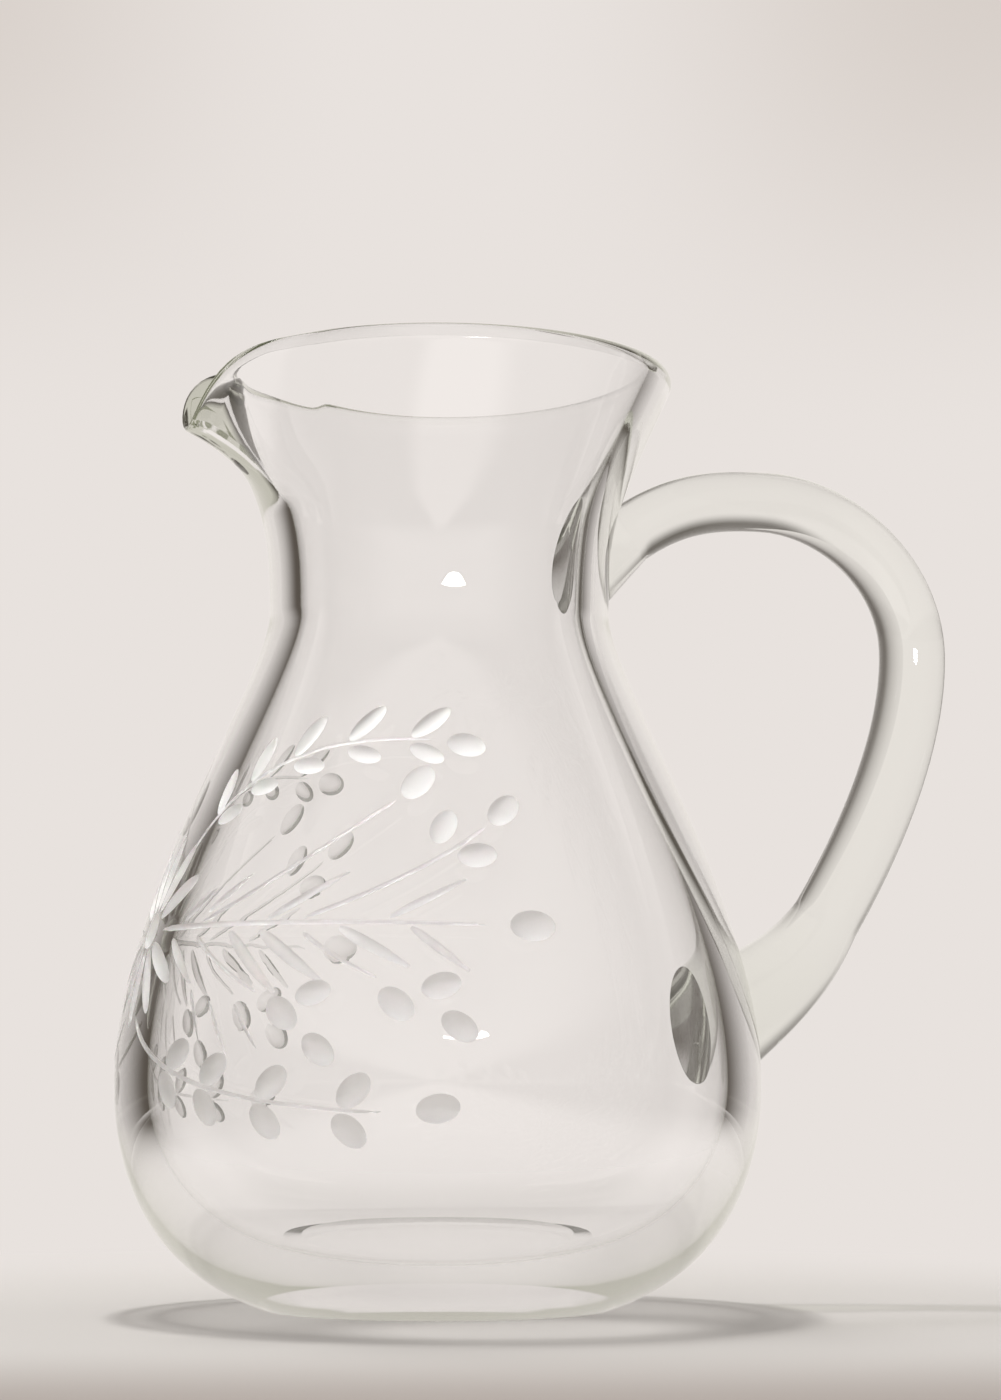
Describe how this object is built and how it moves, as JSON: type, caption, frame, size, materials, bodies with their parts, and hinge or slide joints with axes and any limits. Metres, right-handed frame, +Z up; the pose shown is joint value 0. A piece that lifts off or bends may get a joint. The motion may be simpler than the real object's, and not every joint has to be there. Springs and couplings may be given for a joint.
{
  "type": "glass pitcher",
  "caption": "Clear hand-blown glass pitcher with a pear-shaped bowl, waisted neck, flared rim with a pinched pouring lip, and an applied loop handle, for holding and pouring drinks.",
  "frame": {"origin": "middle of the flat ground base, on the axis of the body", "axes": "+Z up along the axis of the body, +X towards the handle, -X towards the pouring lip"},
  "size_m": [0.2186, 0.1568, 0.2313],
  "materials": {
    "blown_glass": "fire-polished clear glass, wheel-cut foliage left matt, base ground flat",
    "drawn_glass": "fire-polished clear glass rod"
  },
  "bodies": {
    "root": {"blown_body": "blown_glass", "applied_handle": "drawn_glass"}
  },
  "joints": []
}
